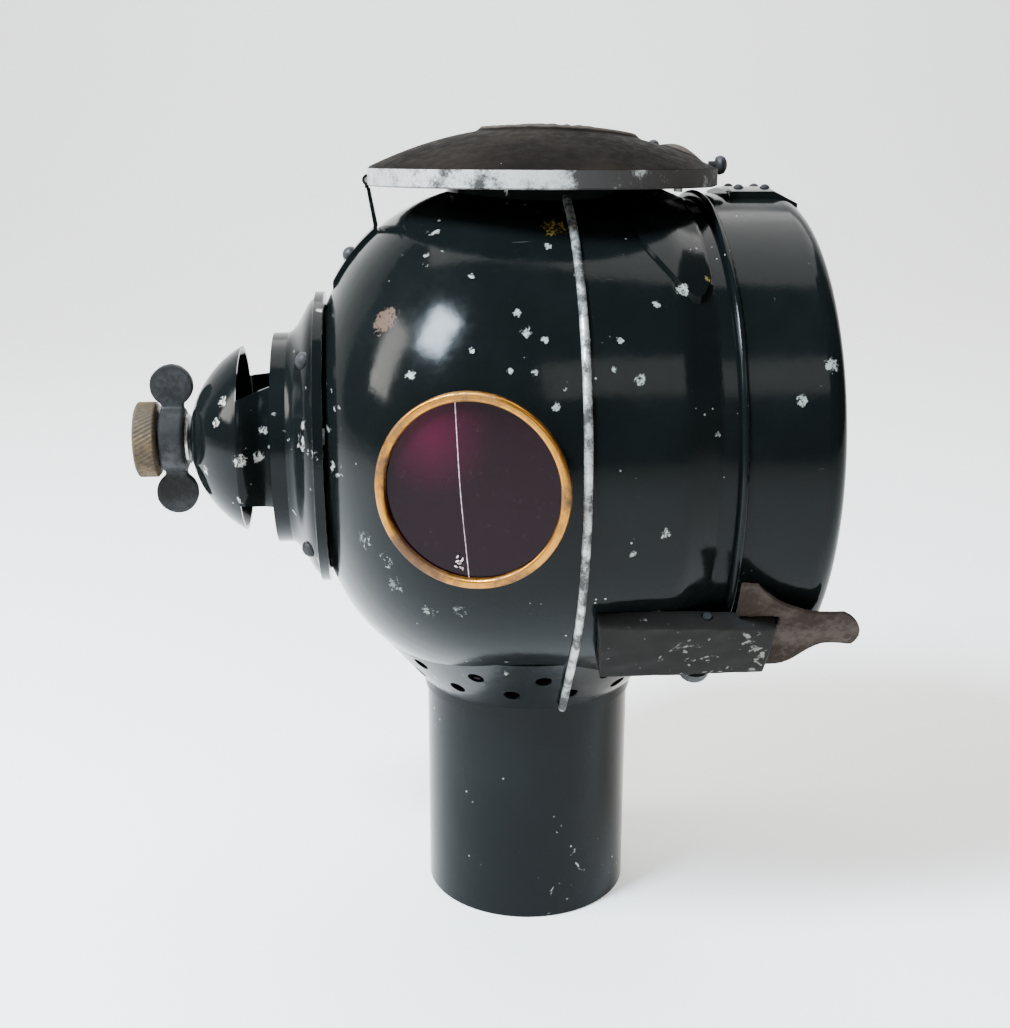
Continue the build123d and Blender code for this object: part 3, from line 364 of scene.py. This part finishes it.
def softened(name, node, grain, passes, body, look, dent=0.0):
    """The node's shape with its sharp edges worn round and its faces slightly uneven."""
    source = SHOWN[node]
    copy = bpy.data.objects.new(name + "_form", source.data.copy())
    bpy.context.scene.collection.objects.link(copy)
    remesh = copy.modifiers.new("remesh", "REMESH")
    remesh.mode = "VOXEL"
    remesh.voxel_size = grain
    smooth = copy.modifiers.new("smooth", "SMOOTH")
    smooth.factor = 0.5
    smooth.iterations = passes
    mesh = bpy.data.meshes.new_from_object(copy.evaluated_get(bpy.context.evaluated_depsgraph_get()))
    bpy.data.objects.remove(copy)
    mesh.name = name
    low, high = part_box(node)
    for vertex in mesh.vertices:
        shift = noise.noise_vector(vertex.co * 160) * dent
        vertex.co = [min(max(c + d, a), b) for c, d, a, b in zip(vertex.co, shift, low, high)]
    mesh.materials.clear()
    piece = new_piece(name, mesh, body, look)
    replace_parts(piece, node)
    return piece


KNURL_DEPTH = 0.00042
KNURL_RIDGES = 26
KNURL_SLANT = 1300  # radians a metre


def knurl(x, turn):
    """Diagonal ridges of the lock nut."""
    return KNURL_DEPTH * abs(math.sin(KNURL_RIDGES * turn + KNURL_SLANT * x)) - KNURL_DEPTH


def lock_nut():
    rear, front = NUT_LOW.x - SEAM_X, NUT_HIGH.x - SEAM_X
    radius = (NUT_HIGH.z - NUT_LOW.z) / 2
    bore = 0.00255
    section = [(front, bore, 0), (front, radius - 0.0009, 0), (front - 0.0005, radius - 0.0003, 0)]
    for i in range(15):
        section.append((front - 0.0007 - i * (front - rear - 0.0024) / 14, radius, 1))
    section += [(rear + 0.0014, radius - 0.0003, 0), (rear + 0.0009, radius - 0.0012, 0)]
    section += [(rear + 0.0003, radius - 0.0042, 0), (rear, bore + 0.001, 0), (rear, bore, 0)]
    nut = turned("knurled_lock_nut", section, 208, knurl, "knurled_nut", DULL_BRASS)
    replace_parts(nut, "knurled_nut")


def glass_crack():
    """Curved crack across the near side glass, with a small chip at its foot."""
    # These places also come from the scratch ray cast that placed the marks; three are as it printed them.
    path = [
        (-0.0338, -0.0705, 0.0238), (-0.0333, -0.0706, 0.0132), (-0.0326, -0.0708, 0.0),
        (-0.0314, -0.0712, -0.0134), (-0.0304, -0.0715, -0.0236),
    ]
    chip_place = spot(-0.0318, -0.07115, -0.0196)
    outward = Vector((-math.sin(math.radians(18)), -math.cos(math.radians(18)), 0))
    curve = bpy.data.curves.new("glass_crack", "CURVE")
    curve.dimensions = "3D"
    curve.bevel_depth = 0.00016
    curve.bevel_resolution = 1
    spline = curve.splines.new("NURBS")
    spline.points.add(len(path) - 1)
    for i, place in enumerate(path):
        spline.points[i].co = (*(spot(*place) - outward * 0.00004), 1)
        spline.points[i].radius = (1.0, 0.75, 1.0, 0.7, 1.1)[i]
    spline.use_endpoint_u = True
    spline.order_u = 3
    form = bpy.data.objects.new("crack_form", curve)
    bpy.context.scene.collection.objects.link(form)
    bpy.context.view_layer.update()
    mesh = bpy.data.meshes.new_from_object(form.evaluated_get(bpy.context.evaluated_depsgraph_get()))
    bpy.data.objects.remove(form)
    mesh.materials.clear()
    new_piece("glass_crack", mesh, "body", CRACKED)
    shape = bmesh.new()
    for i in range(16):
        turn = i * 2.4
        reach = 0.0008 + 0.00022 * i * (0.6 + 0.4 * noise.noise(Vector((i * 3.1, 0, 0))))
        size = 0.0004 + 0.0004 * abs(noise.noise(Vector((0, i * 1.7, 0))))
        across = reach * math.cos(turn)
        centre = chip_place + Vector((across * 0.95, across * 0.309, reach * math.sin(turn) * 0.7))
        seat = Matrix.Translation(centre - outward * size * 0.35) @ Matrix.Rotation(turn, 4, "Y")
        flake = Matrix.Diagonal((1.3, 0.45, 0.6, 1))
        bmesh.ops.create_icosphere(shape, subdivisions=1, radius=size, matrix=seat @ flake)
    mesh = bpy.data.meshes.new("glass_chip")
    shape.to_mesh(mesh)
    shape.free()
    new_piece("glass_chip", mesh, "body", CRACKED, smooth=False)


def cracked_glass():
    look = Look("look_cracked_glass")
    grain = look.noise(900, 4, 0.6)
    look.set("Base Color", look.mix(look.ramp(grain, 0.35, 0.65), rgb(0.62, 0.5, 0.52), rgb(0.3, 0.16, 0.2)))
    look.set("Roughness", look.ramp(grain, 0.3, 0.7, 0.25, 0.5))
    look.bump(grain, 0.4, 0.0002)
    return look.material


OVAL_X, OVAL_LONG, OVAL_WIDE = 5.2, 24.3, 17.0  # pressed oval: centre and half axes, mm
SWELL_X, SWELL_LONG, SWELL_WIDE = 42.0, 7.5, 11.0  # swell at the front edge, mm


def lid_relief(x, y):
    """Height of the pressed oval and the swell, mm, at a place from the lid's centre, mm."""
    oval = math.hypot((x - OVAL_X) / OVAL_LONG, y / OVAL_WIDE)
    turn = math.atan2(y / OVAL_WIDE, (x - OVAL_X) / OVAL_LONG)
    height = 0.25 * min(1, max(0, (1.03 - oval) / 0.07))
    height += 0.9 * math.exp(-(((oval - 0.93) / 0.04) ** 2))
    height += 0.45 * math.exp(-(((oval - 0.68) / 0.035) ** 2))
    if 0.72 < oval < 0.86:
        height += 0.5 * max(0.0, math.sin(38 * turn)) * math.sin(math.pi * (oval - 0.72) / 0.14)
    if 0.2 < oval < 0.62:
        height += 0.5 * abs(math.sin(7 * turn + 5 * oval)) ** 3 * math.sin(math.pi * (oval - 0.2) / 0.42)
    swell = 1 - math.hypot((x - SWELL_X) / SWELL_LONG, y / SWELL_WIDE) ** 2
    return min(1.15, height) + 2.3 * max(0.0, swell) ** 1.5


def lid_look():
    """Brown-black lid paint, paler on the high places of the pressing: partly rubbed wear, partly a painted
    highlight that shows up the relief.
    """
    look = Look("look_lid")
    raised = look.tree.nodes.new("ShaderNodeAttribute")
    raised.attribute_name = "raised"
    grain = look.noise(300, 6, 0.7)
    wide = look.noise(45, 5, 0.6)
    heights = look.math("MULTIPLY", raised.outputs["Fac"], 0.55)
    # Paler on the high places: partly wear, partly a painted highlight on the ridges of the pressing.
    rubbed_and_highlit = look.ramp(look.math("ADD", heights, look.math("MULTIPLY", grain, 0.5)), 0.42, 0.75)
    colour = look.mix(look.ramp(wide, 0.35, 0.7), rgb(0.0042, 0.0032, 0.0027), rgb(0.0105, 0.0078, 0.0062))
    colour = look.mix(rubbed_and_highlit, colour, rgb(0.06, 0.048, 0.04))
    bare = look.ramp(look.noise(420, 6, 0.7), 0.68, 0.72)
    look.set("Base Color", look.mix(bare, colour, rgb(0.3, 0.28, 0.25)))
    look.shader.inputs["Specular IOR Level"].default_value = 0.006
    look.set("Roughness", look.ramp(grain, 0.3, 0.7, 0.4, 0.6))
    look.bump(look.math("ADD", look.math("MULTIPLY", grain, 0.3), wide), 0.35, 0.0006)
    return look.material


def lid_skin():
    low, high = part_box("lid_rim_band")
    dome_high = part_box("lid_dome")[1].z * 1000 - 1.2
    centre = Vector((high.x * 1000 - (high.y - low.y) * 500, 0, 0))
    radius = (high.y - low.y) * 500 - 0.06
    edge = high.z * 1000 + 0.02
    rise = dome_high - edge
    dome_r = (radius ** 2 + rise ** 2) / (2 * rise)
    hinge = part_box("lid_hinge_leaf")
    notch_x, notch_y = centre.x - radius + 1.15, (hinge[1].y - hinge[0].y) * 500 + 0.4
    rings, steps, sheet = 104, 288, 0.8
    shape = bmesh.new()
    skins = []
    for lift in (0.0, -sheet):
        skin = []
        for j in range(1, rings + 1):
            reach = radius * (j / rings)
            ring = []
            for i in range(steps):
                turn = 2 * math.pi * i / steps
                x, y = reach * math.cos(turn), reach * math.sin(turn)
                wave = 0.14 * noise.noise(Vector((x, y, 0)) * 0.06)
                z = dome_high - dome_r + math.sqrt(dome_r ** 2 - reach ** 2) + lift
                if j < rings:
                    relief = lid_relief(x, y)
                    z += relief - 0.1 if lift == 0 else min(0.5, relief)
                x += centre.x
                if abs(y) < notch_y:
                    x = max(x, notch_x)
                ring.append(shape.verts.new((x / 1000, y / 1000, (z + wave * (j < rings)) / 1000)))
            skin.append(ring)
        tip = shape.verts.new((centre.x / 1000, 0, (dome_high + lift + min(0.9, lid_relief(0, 0))) / 1000))
        for i in range(steps):
            shape.faces.new((tip, skin[0][i - 1], skin[0][i]))
            for inner, outer in zip(skin, skin[1:]):
                shape.faces.new((inner[i - 1], outer[i - 1], outer[i], inner[i]))
        skins.append(skin)
    for i in range(steps):
        shape.faces.new((skins[0][-1][i - 1], skins[1][-1][i - 1], skins[1][-1][i], skins[0][-1][i]))
    bmesh.ops.recalc_face_normals(shape, faces=shape.faces)
    mesh = bpy.data.meshes.new("lid_skin")
    shape.to_mesh(mesh)
    shape.free()
    raised = mesh.attributes.new("raised", "FLOAT", "POINT")
    for vertex in mesh.vertices:
        raised.data[vertex.index].value = lid_relief(vertex.co.x * 1000 - centre.x, vertex.co.y * 1000)
    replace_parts(new_piece("lid_skin", mesh, "lid", lid_look()), "lid_dome")


CRACKED = cracked_glass()
lid_skin()
lock_nut()
glass_crack()
softened("wing_nut_cast", "wing_nut", 0.00042, 5, "wing_nut", LOOKS["dark_iron"], 0.00018)
softened("latch_bracket_worn", "latch_bracket", 0.00038, 3, "body", WORN_BRACKET, 0.00035)
softened("latch_lever_worn", "latch_lever", 0.00034, 3, "latch", LOOKS["rusty_steel"], 0.00014)


# ---- stage, light and camera
def soft_light(name, place, aim, size, power, tint):
    light = bpy.data.lights.new(name, "AREA")
    light.shape = "RECTANGLE"
    light.size, light.size_y = size
    light.energy = power
    light.color = tint
    lamp = bpy.data.objects.new(name, light)
    lamp.location = place
    lamp.rotation_euler = (Vector(aim) - Vector(place)).to_track_quat("-Z", "Y").to_euler()
    bpy.context.scene.collection.objects.link(lamp)


# Camera, fitted to the photograph by least squares: degrees, mm and metres.
YAW, PITCH, ROLL = 5.26, 15.17, 0.16
LENS = 46.41
EYE = (-0.04457, -0.40396, 0.23453)
FLOOR_GLOW = 0.62
WORLD_GLOW = 0.12


def studio():
    floor_mesh = bpy.data.meshes.new("floor")
    shape = bmesh.new()
    line = [(-3.0, 0.0)]
    for step in range(13):
        turn = math.radians(90 * step / 12)
        line.append((1.4 + 0.8 * math.sin(turn), 0.8 - 0.8 * math.cos(turn)))
    line.append((2.2, 3.0))
    rows = [[shape.verts.new((x, y, z)) for x in (-4.0, 4.0)] for y, z in line]
    for low, high in zip(rows, rows[1:]):
        shape.faces.new((low[0], low[1], high[1], high[0]))
    shape.to_mesh(floor_mesh)
    shape.free()
    for face in floor_mesh.polygons:
        face.use_smooth = True
    floor = bpy.data.objects.new("floor", floor_mesh)
    bpy.context.scene.collection.objects.link(floor)
    look = Look("look_floor")
    grain = look.noise(6, 4, 0.5)
    look.set("Base Color", look.mix(grain, rgb(0.9, 0.895, 0.885), rgb(0.86, 0.855, 0.845)))
    look.set("Roughness", look.ramp(grain, 0.3, 0.7, 0.7, 0.8))
    look.shader.inputs["Emission Color"].default_value = rgb(1.0, 0.995, 0.985)
    look.shader.inputs["Emission Strength"].default_value = FLOOR_GLOW
    floor_mesh.materials.append(look.material)

    world = bpy.data.worlds.new("studio")
    world.use_nodes = True
    world.node_tree.nodes["Background"].inputs["Color"].default_value = rgb(0.98, 1.0, 1.0)
    world.node_tree.nodes["Background"].inputs["Strength"].default_value = WORLD_GLOW
    bpy.context.scene.world = world
    soft_light("overhead", (0.25, 0.9, 2.1), (0, 0.35, 0), (2.4, 2.0), 62, (1.0, 0.99, 0.97))
    soft_light("window", (-0.60, -0.38, 0.93), (0, 0, 0.17), (0.26, 0.32), 48, (0.72, 0.87, 1.0))
    soft_light("left", (-1.15, -0.1, 0.75), (0, 0, 0.1), (0.35, 0.6), 16, (1.0, 0.97, 0.92))
    soft_light("floor_wash", (0.5, -1.5, 1.2), (0, 0, 0.1), (1.0, 0.5), 6, (1.0, 0.985, 0.965))

    camera = bpy.data.cameras.new("camera")
    camera.sensor_fit = "VERTICAL"
    camera.sensor_height = 36.0
    camera.lens = LENS
    camera.clip_start = 0.01
    eye = bpy.data.objects.new("camera", camera)
    yaw, pitch, roll = math.radians(YAW), math.radians(PITCH), math.radians(ROLL)
    facing = Matrix.Rotation(-yaw, 4, "Z") @ Matrix.Rotation(math.radians(90) - pitch, 4, "X")
    facing = facing @ Matrix.Rotation(roll, 4, "Z")
    eye.matrix_world = Matrix.Translation(EYE) @ facing
    bpy.context.scene.collection.objects.link(eye)
    bpy.context.scene.camera = eye


studio()
